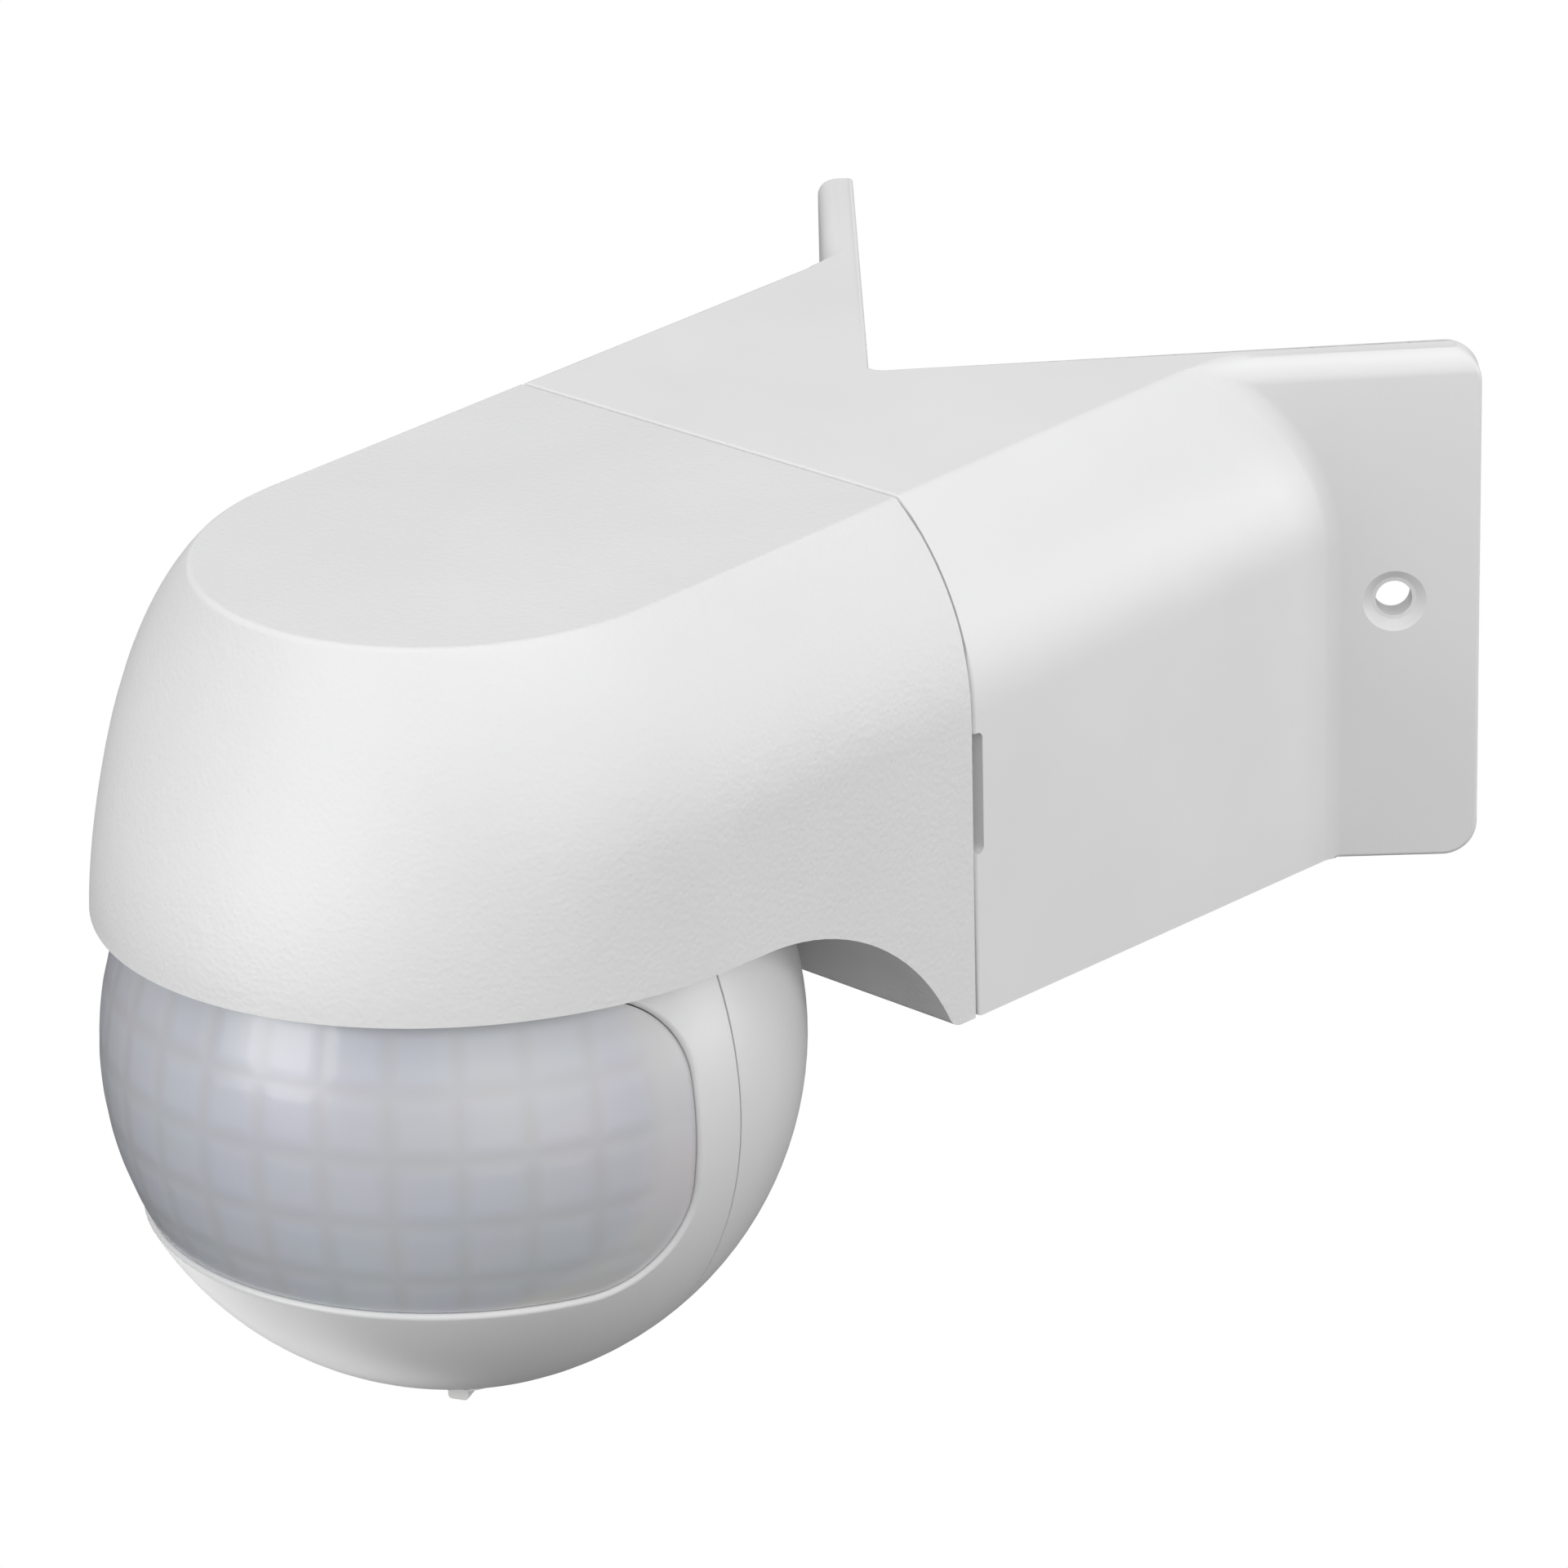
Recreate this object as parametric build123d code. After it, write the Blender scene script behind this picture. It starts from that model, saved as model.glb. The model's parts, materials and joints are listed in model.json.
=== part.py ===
from build123d import *
from math import cos, radians, sin, sqrt, tan
import os

# Outdoor motion sensor on an outside-corner bracket, in millimetres.
# Origin: the inner corner edge of the bracket, at the height of the wall screws.
# -Y points away from the wall corner, +Z is up.

# Corner bracket
flange_length = 69.0
flange_thick = 4.2
flange_corner_r = 4.0
notch_r = 1.8
flange_root_r = 3.0
screw_reach = 59.3
screw_hole_r = 2.1
screw_recess_r = 3.65
screw_recess_depth = 1.0
roof_height = 28.1
base_depth = 31.5
roof_slope = 2.4

# Arched section shared by the bracket arm and the hood
arm_half_width = 39.8
roof_half_width = 29.0
crown_r = 30.0
crease_r = 1.0
wall = 2.2

# Seam between bracket and hood
seam_reach = 26.2
seam_gap = 0.3
pry_slot_height = 14.2
pry_slot_width = 1.3
pry_slot_z = -5.1

# Hood nose and underside
nose_start = 64.8
nose_roof_reach = 28.8
nose_rake = 24.0
nose_rake_depth = 24.0
nose_r = 42.0
rim_z = -13.2
rim_thick = 5.2
arch_cut_r = 31.6
arch_cut_start = 58.8
lip_r = 2.0

# Sensor head
ball_r = 39.2
shell_wall = 2.5
ball_reach = 68.5
ball_z = -30.8
pocket_gap = 1.0
pocket_wall = 2.2
split_y = 6.0
split_gap = 0.15

# Lens window, as seen from the side of the head
window_back_y = -0.7
window_top = 16.9
window_bottom = -17.6
window_corner_r = 11.0
lens_inset = 0.6
lens_thick = 1.2
lens_gap = 0.12
lens_lip = 1.5
lens_lip_thick = 0.6
lens_rim = 2.0
window_edge_r = 0.5

# Swivel neck and yoke
neck_r = 7.0
neck_bore_r = 4.5
neck_rise = 11.3
collar_r = 9.0
collar_clear = 0.8
collar_thick = 2.8
running_gap = 0.05
boss_r = 12.0
boss_rise = 7.0
washer_thick = 0.8
nut_thick = 3.0
nut_r = 11.0
yoke_gap = 1.9
yoke_thick = 3.2
yoke_half_width = 4.0
slot_gap = 0.6
tilt_down = 30.0
tilt_up = 15.0

# Tilt pivots
pin_r = 2.0
eye_r = 5.0
lug_gap = 4.3
lug_thick = 4.5
pivot_washer_thick = 0.5
lug_arm_half = 4.0

# Base plate inside the seam
plate_thick = 2.0
plate_back = 4.0
fit_gap = 0.1
seat_gap = 0.02
spigot_wall = 1.4
spigot_reach = 2.4
spigot_floor = -22.0
seal_width = 1.0
seal_depth = 0.6
seal_gap = 0.06
pillar_x = 24.0
pillar_z = -16.0
pillar_r = 4.2
base_screw_r = 1.5
base_screw_head_r = 3.0
base_screw_head = 1.8
base_screw_length = 14.0
cross_share = 0.7
cross_half = 0.4
cross_depth = 0.9
tongue_height = 11.0
tongue_thick = 1.4
tongue_reach = 8.0
tongue_hook = 0.9
hook_width = 2.0
hook_gap = 0.3
catch_room = 0.5

# Terminal block
block_width = 36.0
block_height = 14.0
block_depth = 13.0
block_z = 4.5
poles = 4
pole_pitch = 8.5
clamp_size = 5.0
clamp_wall = 0.8
clamp_screw_r = 1.6
clamp_screw_length = 5.0
block_front = 3.0
screw_room = 0.5
screw_sunk = 0.6
slot_half_width = 0.35
slot_depth = 0.7

# Cable entry
entry_reach = 17.0
entry_r = 5.0
grommet_bore_r = 3.5
grommet_lip = 1.4
grommet_lip_thick = 1.5

# Head electronics
board_thick = 1.6
board_room = 11.7
board_y = 3.0
board_post = (17.0, -13.0)
board_post_top = 20.5
post_r = 2.6
board_screw_r = 1.0
board_screw_head_r = 2.0
board_screw_head = 1.2
board_screw_length = 6.0
holder_r = 6.0
holder_height = 5.0
pyro_r = 4.6
pyro_height = 4.2
eye_width = 5.0
light_r = 2.5
light_height = 2.2
relay_size = (19.0, 15.0, 15.5)
relay_place = (-5.0, 6.5)
film_size = (18.0, 9.0, 12.0)
film_place = (-3.0, -8.0)
can_r = 4.0
can_height = 12.0
can_places = ((12.5, 4.0), (12.5, 12.8))
chip_size = (10.0, 1.8, 6.5)
chip_place = (12.0, -6.5)

# Control board and dials at the bottom of the head
control_gap = 1.6
control_front = -15.0
control_back = 1.0
control_rise = 16.2
header_half = 8.0
header_height = 2.5
header_foot = 2.5
pot_size = 7.0
pot_height = 4.5
dial_names = ("time_dial", "light_dial", "range_dial")
dial_pitch = 8.2
dial_y = -7.2
dial_r = 3.4
dial_depth = 0.8
dial_thick = 2.0
dial_gap = 0.3
dial_bar_width = 2.4
dial_bar_height = 1.2
dial_turns = (-40, 10, 25)
dial_bar_edge_r = 0.5
dial_stem_r = 1.5
control_post_x = 4.5
control_post_y = -12.9
control_post_r = 1.7
control_screw_r = 0.8

# Shell screws
shell_screw_depth = 3.2
shell_screw_turn = 38.0
shell_boss_r = 4.0
shell_screw_r = 1.5
shell_screw_head_r = 2.8
shell_screw_head = 2.0
shell_head_y = 14.0
shell_screw_length = 17.0
shell_seal_from_edge = 1.9
shell_seal_width = 0.9
shell_seal_depth = 0.8

far = 300.0
slope = tan(radians(roof_slope))
crown_depth = sqrt(crown_r**2 - (crown_r - arm_half_width + roof_half_width) ** 2)
seam_y = -seam_reach
ball_place = Pos(0, -ball_reach, ball_z)
shell_in_r = ball_r - shell_wall
lens_r = ball_r - lens_inset
yoke_r = shell_in_r - yoke_gap
yoke_in_r = yoke_r - yoke_thick
lug_out = yoke_r - lug_gap
collar_low = ball_r + collar_clear
collar_high = collar_low + collar_thick
boss_top = ball_r + boss_rise
neck_top = ball_r + neck_rise
board_r = shell_in_r - board_room
control_z = control_rise - ball_r
shell_seal_r = ball_r - shell_seal_from_edge
shell_screw_reach = shell_in_r - shell_screw_depth
shell_screw_x = shell_screw_reach * sin(radians(shell_screw_turn))
shell_screw_z = -shell_screw_reach * cos(radians(shell_screw_turn))
plate_front_y = seam_y + plate_back - plate_thick
plate_back_y = seam_y + plate_back


def block(low, high):
    size = [b - a for a, b in zip(low, high)]
    middle = [(a + b) / 2 for a, b in zip(low, high)]
    return Pos(*middle) * Box(*size)


def rod(radius, start, length, along):
    """A cylinder that starts at a point and runs along a direction."""
    return Plane(origin=start, z_dir=along) * Cylinder(
        radius, length, align=(Align.CENTER, Align.CENTER, Align.MIN)
    )


def ring(outer, inner, start, length, along):
    hole_start = Vector(*start) - Vector(*along).normalized()
    return rod(outer, start, length, along) - rod(inner, hole_start, length + 2, along)


def both_sides(shape):
    """The shape and its mirror image, as two separate solids."""
    return Compound(children=[shape, mirror(shape, about=Plane.YZ)])


def crown_half_width(depth, inset):
    """Half the arch's width at a depth below the roof plane."""
    rise = max(crown_depth - depth, 0)
    return arm_half_width - crown_r + sqrt((crown_r - inset) ** 2 - rise**2)


def arch_prism(inset, y_low, y_high, crease=crease_r):
    """The arched section, set in by a wall, from one Y to another along the sloping roof."""
    half = arm_half_width - inset
    corner = crown_half_width(inset, inset)
    top = roof_height - inset
    spring = roof_height - crown_depth
    middle_depth = (crown_depth + inset) / 2
    middle = (crown_half_width(middle_depth, inset), roof_height - middle_depth)
    mirrored = (-middle[0], middle[1])
    deep = -far / 2
    with BuildSketch(Plane.XZ) as section:
        with BuildLine():
            Line((-corner, top), (corner, top))
            ThreePointArc((corner, top), middle, (half, spring))
            Polyline((half, spring), (half, deep), (-half, deep), (-half, spring))
            ThreePointArc((-half, spring), mirrored, (-corner, top))
        make_face()
        if crease > 0:
            fillet(section.vertices().group_by(Axis.Y)[-1], crease)
    stretch = sqrt(1 + slope**2)
    ahead = extrude(section.sketch, -y_low * stretch, dir=(0, -1, -slope))
    floor = -base_depth + inset
    if y_high > 0:
        ahead += extrude(section.sketch, y_high * stretch, dir=(0, 1, slope))
    return ahead & block((-far, y_low, floor), (far, y_high, far))


def in_front_of_wall(offset):
    """Everything ahead of the two flange faces, with the faces moved forward by an offset."""
    tip = -offset * sqrt(2)
    with BuildSketch() as plan:
        with BuildLine():
            Polyline((0, tip), (far, far + tip), (far, -far), (-far, -far), (-far, far + tip), close=True)
        make_face()
    return extrude(plan.sketch, far, both=True)


flange_plane = Plane(origin=(0, 0, 0), x_dir=(1, 1, 0), z_dir=(1, -1, 0))


def flange_point(reach, z, out):
    """A point on the right flange: along it, its height and how far ahead of its back face."""
    return flange_plane.from_local_coords(Vector(reach, z, out))


def make_flange():
    """The right flange plate with rounded free corners, its dished screw hole included."""
    rise = slope * cos(radians(45))
    with BuildSketch(flange_plane) as face:
        with BuildLine():
            Polyline(
                (-flange_thick, -base_depth),
                (flange_length, -base_depth),
                (flange_length, roof_height + rise * flange_length),
                (-flange_thick, roof_height - rise * flange_thick),
                close=True,
            )
        make_face()
        fillet(face.vertices().group_by(Axis.X)[-1], flange_corner_r)
    return extrude(face.sketch, flange_thick)


def above_roof():
    """Everything over the sloping roof plane."""
    roof = Plane(origin=(0, 0, roof_height), x_dir=(1, 0, 0), z_dir=(0, -slope, 1))
    return roof * Box(far * 2, far * 2, far, align=(Align.CENTER, Align.CENTER, Align.MIN))


def make_screw_hole():
    hole = rod(screw_hole_r, flange_point(screw_reach, 0, -1), flange_thick + 2, (1, -1, 0))
    dish_depth = screw_recess_depth + 1
    dish_slope = (screw_recess_r - screw_hole_r) / screw_recess_depth * 0.7
    dish = Plane(
        origin=flange_point(screw_reach, 0, flange_thick - screw_recess_depth), z_dir=(1, -1, 0)
    ) * Cone(
        screw_recess_r - dish_slope * screw_recess_depth,
        screw_recess_r + dish_slope,
        dish_depth,
        align=(Align.CENTER, Align.CENTER, Align.MIN),
    )
    return hole + dish


def pillar_place(y):
    return (pillar_x, y, pillar_z)


def is_root_edge(edge):
    """True for the curves where the arm's side and crown run into a flange's front face."""
    middle = edge.position_at(0.5)
    on_face = abs(abs(middle.X) - middle.Y - flange_thick * sqrt(2)) < 0.01
    inside = roof_half_width - 1 < abs(middle.X) < arm_half_width + 0.1
    upright = abs((edge @ 0).Z - (edge @ 1).Z) > 0.5
    return on_face and inside and upright


def make_corner_bracket():
    plates = make_flange() - above_roof()
    plates += mirror(plates, about=Plane.YZ)
    notch = plates.edges().filter_by(Axis.Z).sort_by(lambda e: (e.center().X**2 + e.center().Y**2))[0]
    plates = fillet(notch, notch_r)
    arm = arch_prism(0, seam_y, flange_length, 0) & in_front_of_wall(flange_thick / 2)
    outside = plates + arm
    root_edges = [edge for edge in outside.edges() if is_root_edge(edge)]
    outside = fillet(root_edges, flange_root_r)
    hollow = arch_prism(wall, seam_y - 1, flange_length) & in_front_of_wall(flange_thick)
    shape = outside - hollow
    pillar = rod(pillar_r, pillar_place(plate_back_y), far / 2, (0, 1, 0))
    pillar &= in_front_of_wall(flange_thick / 2)
    pillar -= rod(base_screw_r, pillar_place(plate_back_y - 1), base_screw_length + 3, (0, 1, 0))
    shape += pillar
    shape += mirror(pillar, about=Plane.YZ)
    entry = rod(entry_r, flange_point(entry_reach, 0, -1), flange_thick + 2, (1, -1, 0))
    shape -= mirror(entry, about=Plane.YZ)
    cuts = make_screw_hole()
    slot = block(
        (arm_half_width - wall - 1, seam_y - 1, pry_slot_z - pry_slot_height / 2),
        (arm_half_width + 1, seam_y + pry_slot_width, pry_slot_z + pry_slot_height / 2),
    )
    slot = fillet(slot.edges().filter_by(Axis.X).group_by(Axis.Y)[-1], pry_slot_width * 0.6)
    cuts += slot
    shape -= cuts
    shape -= mirror(cuts, about=Plane.YZ)
    return shape


def nose_reach(depth, inset):
    """How far the nose stands ahead of its start, at a depth below the roof."""
    rake = radians(nose_rake)
    straight = min(depth, nose_rake_depth)
    arc_low = nose_rake_depth + nose_r * sin(rake)
    rise = max(arc_low - max(depth, nose_rake_depth), 0)
    bulge = nose_r * cos(rake) if depth <= nose_rake_depth else sqrt(nose_r**2 - rise**2)
    return nose_roof_reach + straight * tan(rake) + bulge - nose_r * cos(rake) - inset / cos(rake)


def nose_section(depth, inset, back_y):
    """The plan outline of the hood at a depth below its sloping roof."""
    half = crown_half_width(depth, inset)
    reach = nose_reach(depth, inset)
    tilt = radians(roof_slope)
    level = Plane(
        origin=(0, 0, roof_height - depth), x_dir=(1, 0, 0), z_dir=(0, -sin(tilt), cos(tilt))
    )
    with BuildSketch(level) as plan:
        with BuildLine():
            Polyline((-half, -nose_start), (-half, back_y), (half, back_y), (half, -nose_start))
            EllipticalCenterArc((0, -nose_start), half, reach, 180, arc_size=180)
        make_face()
    return plan.sketch


def nose_solid(inset, back_y):
    """The hood's full outer form, or its inner form when it is set in by a wall."""
    steps = 6
    depths = [inset + (crown_depth - inset) * k / steps for k in range(steps + 1)]
    depths += [crown_depth + k * crown_depth / 3 for k in range(1, 7)]
    return loft([nose_section(depth, inset, back_y) for depth in depths])


def under_cut(wall_off, rim):
    """The space below the hood: flat under the nose, arched towards the wall."""
    arch_z = rim_z - arch_cut_r
    low = block((-far, -far, -far), (far, -arch_cut_start, rim))
    tunnel = rod(arch_cut_r + wall_off, (-far, -arch_cut_start, arch_z), 2 * far, (1, 0, 0))
    return low + tunnel


def make_hood():
    outer = nose_solid(0, 0)
    roof = outer.faces().sort_by(Axis.Z)[-1]
    creases = [edge for edge in roof.edges() if edge.position_at(0.5).Y < -1]
    outer = fillet(creases, crease_r)
    outer &= block((-far, -far, -base_depth), (far, seam_y - seam_gap, far))
    outer -= under_cut(0, rim_z)
    foot = outer.faces().sort_by(Axis.Z)[0]
    outer = fillet(foot.edges().sort_by(Axis.Y)[0], lip_r)
    cavity = nose_solid(wall, 0) - under_cut(wall, rim_z + rim_thick)
    dome_r = ball_r + pocket_gap + pocket_wall
    cavity &= block((-far, -far, -base_depth + wall), (far, 0, far))
    cavity -= ball_place * Sphere(dome_r)
    cavity -= ball_place * rod(boss_r, (0, 0, 0), boss_top, (0, 0, 1))
    shape = outer - cavity
    shape -= ball_place * Sphere(ball_r + pocket_gap)
    shape -= ball_place * rod(neck_r + running_gap, (0, 0, 0), boss_top + 1, (0, 0, 1))
    shape -= ball_place * rod(collar_r + running_gap, (0, 0, 0), collar_high, (0, 0, 1))
    catch_half = tongue_height / 2 + catch_room
    catch_y = plate_front_y - tongue_reach - catch_room
    catch_in = arm_half_width - wall
    catch = block(
        (catch_in - 1, catch_y, pry_slot_z - catch_half),
        (catch_in + tongue_hook, catch_y + hook_width + 2 * catch_room, pry_slot_z + catch_half),
    )
    shape -= catch
    shape -= mirror(catch, about=Plane.YZ)
    return shape


def arch_ring(outer_inset, thickness, y_low, y_high):
    outer = arch_prism(outer_inset, y_low, y_high)
    return outer - arch_prism(outer_inset + thickness, y_low - 1, y_high + 1)


def spigot_band(outer_inset, thickness, y_low, y_high):
    """A band of the spigot, left out along the floor where the hood's own arch stands."""
    band = arch_ring(outer_inset, thickness, y_low, y_high)
    return band - block((-far, -far, -far), (far, far, spigot_floor))


def make_base_plate():
    """The plate in the bracket's mouth: a spigot that guides the hood, two snap tongues."""
    inset = wall + fit_gap
    shape = arch_prism(inset, plate_front_y, plate_back_y)
    shape += spigot_band(inset, spigot_wall, seam_y - spigot_reach, plate_back_y)
    groove_y = seam_y - spigot_reach / 2
    groove = arch_prism(0, groove_y - seal_width / 2, groove_y + seal_width / 2)
    shape -= groove - arch_prism(inset + seal_depth, groove_y - far / 2, groove_y + seal_width)
    tongue_out = arm_half_width - inset - spigot_wall
    tongue_low = pry_slot_z - tongue_height / 2
    tongue_high = pry_slot_z + tongue_height / 2
    tip_y = plate_front_y - tongue_reach
    tongue_in = tongue_out - tongue_thick
    tongue = block((tongue_in, tip_y, tongue_low), (tongue_out, plate_front_y + 1, tongue_high))
    hook_out = arm_half_width - wall + tongue_hook - hook_gap
    tongue += block((tongue_out - 1, tip_y, tongue_low), (hook_out, tip_y + hook_width, tongue_high))
    shape += tongue
    shape += mirror(tongue, about=Plane.YZ)
    hole = rod(base_screw_r + fit_gap, pillar_place(plate_front_y - 1), plate_thick + 2, (0, 1, 0))
    shape -= hole
    shape -= mirror(hole, about=Plane.YZ)
    shape -= rod(neck_bore_r, (0, plate_front_y - 1, -base_depth / 2), plate_thick + 2, (0, 1, 0))
    return shape


def make_hood_seal():
    groove_y = seam_y - spigot_reach / 2
    thickness = fit_gap + seal_depth - seal_gap
    low_y = groove_y - seal_width / 2
    return spigot_band(wall + seal_gap, thickness, low_y, low_y + seal_width)


def cross_recess(head_r, y_low, y_high):
    """A cross for the driver, smaller than the screw's head, between two depths."""
    arm = block((-cross_share * head_r, y_low, -cross_half), (cross_share * head_r, y_high, cross_half))
    return arm + Rot(0, 90, 0) * arm


def make_base_screws():
    start = pillar_place(plate_front_y - base_screw_head)
    screw = rod(base_screw_head_r, start, base_screw_head, (0, 1, 0))
    screw += rod(base_screw_r - seat_gap, pillar_place(plate_front_y), base_screw_length, (0, 1, 0))
    screw -= Pos(*start) * cross_recess(base_screw_head_r, -1, cross_depth)
    return both_sides(screw)


def screw_slot(radius):
    """A slot for a flat driver across a screw's front end, to be taken away at its start."""
    return block((-radius - 1, -1, -slot_half_width), (radius + 1, slot_depth, slot_half_width))


def pole_x(index):
    return (index - (poles - 1) / 2) * pole_pitch


def make_terminal_block():
    low_y = plate_front_y - block_depth
    top = block_z + block_height
    shape = block((-block_width / 2, low_y, block_z), (block_width / 2, plate_front_y, top))
    half = clamp_size / 2 + fit_gap
    middle_z = block_z + block_height / 2
    for index in range(poles):
        x = pole_x(index)
        cell_y = low_y + block_front
        shape -= block((x - half, cell_y, block_z - 1), (x + half, cell_y + 2 * half, top + 1))
        shape -= rod(clamp_screw_r + screw_room, (x, low_y - 1, middle_z), block_front + 2, (0, 1, 0))
    return shape


def make_terminal_clamps():
    low_y = plate_front_y - block_depth + block_front + fit_gap
    half = clamp_size / 2
    cages = []
    for index in range(poles):
        x = pole_x(index)
        low = (x - half, low_y, block_z + 1)
        high = (x + half, low_y + clamp_size, block_z + block_height - 1)
        cage = block(low, high)
        inner = block(
            (x - half + clamp_wall, low_y + clamp_wall, block_z),
            (x + half - clamp_wall, low_y + clamp_size - clamp_wall, block_z + block_height),
        )
        cage -= inner
        cage -= rod(clamp_screw_r + fit_gap, (x, low_y - 1, block_z + block_height / 2), 3, (0, 1, 0))
        cages.append(cage)
    return Compound(children=cages)


def make_terminal_screws():
    low_y = plate_front_y - block_depth
    screws = []
    for index in range(poles):
        start = (pole_x(index), low_y + screw_sunk, block_z + block_height / 2)
        screw = rod(clamp_screw_r, start, clamp_screw_length, (0, 1, 0))
        screw -= Pos(*start) * screw_slot(clamp_screw_r)
        screws.append(screw)
    return Compound(children=screws)


def make_cable_grommet():
    """A rubber grommet in the bracket's left wall, flush with the back face."""
    ahead = (1, -1, 0)
    length = flange_thick + grommet_lip_thick
    body = rod(entry_r - seat_gap, flange_point(entry_reach, 0, 0), length, ahead)
    lip_start = flange_point(entry_reach, 0, flange_thick)
    lip = rod(entry_r + grommet_lip, lip_start, grommet_lip_thick, ahead)
    bore = rod(grommet_bore_r, flange_point(entry_reach, 0, -1), length + 2, ahead)
    return mirror(body + lip - bore, about=Plane.YZ)


def in_head(shape):
    return ball_place * shape


def window_prism(grow):
    """The lens window's outline seen from the side, drawn right through the head."""
    with BuildSketch(Plane.YZ) as outline:
        with BuildLine():
            Polyline(
                (-far / 4, window_bottom - grow),
                (window_back_y + grow, window_bottom - grow),
                (window_back_y + grow, window_top + grow),
                (-far / 4, window_top + grow),
                close=True,
            )
        make_face()
        fillet(outline.vertices().group_by(Axis.X)[-1], window_corner_r + grow)
    return extrude(outline.sketch, far / 4, both=True)


def neck_slot():
    """The slot in the top of the ball that the neck moves along as the head tilts."""
    down = radians(tilt_down)
    up = radians(tilt_up)
    half = neck_r + slot_gap
    back = ball_r * sin(down) + neck_r * cos(down) + slot_gap
    front = ball_r * sin(up) + neck_r * cos(up) + slot_gap
    with BuildSketch(Plane.XY.offset(shell_in_r * cos(down) - 2 * neck_r)) as plan:
        with Locations((0, (back - front) / 2)):
            SlotOverall(back + front, 2 * half, rotation=90)
    return extrude(plan.sketch, far / 4)


def shell_seal_ring(width_gap, low_y, high_y):
    outer = shell_seal_r + shell_seal_width / 2 + width_gap
    inner = shell_seal_r - shell_seal_width / 2 - width_gap
    return ring(outer, inner, (0, low_y, 0), high_y - low_y, (0, 1, 0))


def dial_face_z(x):
    """The lower face of a dial, a little inside the ball's surface at the dial's centre."""
    return dial_depth - sqrt(ball_r**2 - x**2 - dial_y**2)


def dial_x(index):
    return (index - 1) * dial_pitch


def is_window_rim(edge):
    """True for the curves where the window breaks through the ball's outer surface."""
    middle = edge.position_at(0.5)
    on_surface = abs(middle.length - ball_r) < 0.01
    return on_surface and middle.Y < window_back_y + 0.1 and window_bottom < middle.Z + 0.1 < window_top + 0.2


def make_front_shell():
    shape = Sphere(ball_r) - Sphere(shell_in_r)
    shape &= block((-far, -far, -far), (far, split_y - split_gap, far))
    for side in (-1, 1):
        centre = (side * shell_screw_x, -6, shell_screw_z)
        boss = rod(shell_boss_r, centre, split_y - split_gap + 6, (0, 1, 0)) & Sphere(shell_in_r + 1)
        shape += boss
        shape -= rod(shell_screw_r, (centre[0], -3, centre[2]), far, (0, 1, 0))
    for side in (-1, 1):
        foot = (side * control_post_x, control_post_y, -shell_in_r - 1)
        post = rod(control_post_r, foot, shell_in_r + 1 + control_z - board_thick, (0, 0, 1))
        shape += post & Sphere(shell_in_r + 1)
        shape -= rod(control_screw_r, (foot[0], foot[1], control_z - board_thick - 5), 9, (0, 0, 1))
    shape -= window_prism(0)
    shape = fillet([edge for edge in shape.edges() if is_window_rim(edge)], window_edge_r)
    shape -= neck_slot()
    for index in range(len(dial_names)):
        x = dial_x(index)
        shape -= rod(dial_r + dial_gap, (x, dial_y, -ball_r - 1), far / 30, (0, 0, 1))
    return in_head(shape)


def make_rear_shell():
    shape = Sphere(ball_r) - Sphere(shell_in_r)
    shape &= block((-far, split_y, -far), (far, far, far))
    shape -= neck_slot()
    inside = Sphere(shell_in_r + 1)
    for side in (-1, 1):
        inner_x = side * (lug_out - lug_thick)
        lug = rod(eye_r, (inner_x, 0, 0), lug_thick, (side, 0, 0))
        low = (min(inner_x, side * lug_out), 0, -lug_arm_half)
        high = (max(inner_x, side * lug_out), far, lug_arm_half)
        shape += (lug + block(low, high)) & inside
        shape -= rod(pin_r + running_gap, (inner_x - side, 0, 0), lug_thick + 2, (side, 0, 0))
        boss = rod(shell_boss_r, (side * shell_screw_x, split_y, shell_screw_z), far, (0, 1, 0)) & inside
        shape += boss
        shape -= rod(shell_screw_r + fit_gap, (side * shell_screw_x, 0, shell_screw_z), far, (0, 1, 0))
        head_hole = rod(
            shell_screw_head_r + 0.3, (side * shell_screw_x, shell_head_y, shell_screw_z), far, (0, 1, 0)
        )
        shape -= head_hole
    for x, z in post_places():
        post = rod(post_r, (x, board_y + board_thick, z), far, (0, 1, 0)) & inside
        shape += post
        shape -= rod(board_screw_r, (x, 0, z), board_y + board_thick + board_screw_length, (0, 1, 0))
    shape -= shell_seal_ring(fit_gap / 2, split_y - 1, split_y + shell_seal_depth)
    return in_head(shape)


def post_places():
    x, z = board_post
    return ((x, z), (-x, z), (0, board_post_top))


def make_lens():
    """A moulded spherical window: a thin skin with a thick rim and a lip behind the shell."""
    rim_in = shell_in_r - lens_lip_thick - fit_gap
    shape = (Sphere(lens_r) - Sphere(rim_in)) & window_prism(-lens_gap)
    shape += (Sphere(shell_in_r - fit_gap) - Sphere(rim_in)) & window_prism(lens_lip)
    shape -= Sphere(lens_r - lens_thick) & window_prism(-lens_rim)
    return in_head(shape)


def make_shell_seal():
    shape = shell_seal_ring(0, split_y - split_gap, split_y + shell_seal_depth)
    slot_half = neck_r + slot_gap
    shape -= block((-slot_half, -far, 0), (slot_half, far, far))
    return in_head(shape)


def make_shell_screws():
    start = (shell_screw_x, shell_head_y, shell_screw_z)
    screw = rod(shell_screw_head_r, start, shell_screw_head, (0, 1, 0))
    tip = (shell_screw_x, shell_head_y - shell_screw_length + 1, shell_screw_z)
    screw += rod(shell_screw_r - seat_gap, tip, shell_screw_length - 1, (0, 1, 0))
    screw -= Pos(*start) * cross_recess(shell_screw_head_r, shell_screw_head - cross_depth, far)
    return both_sides(in_head(screw))


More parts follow.
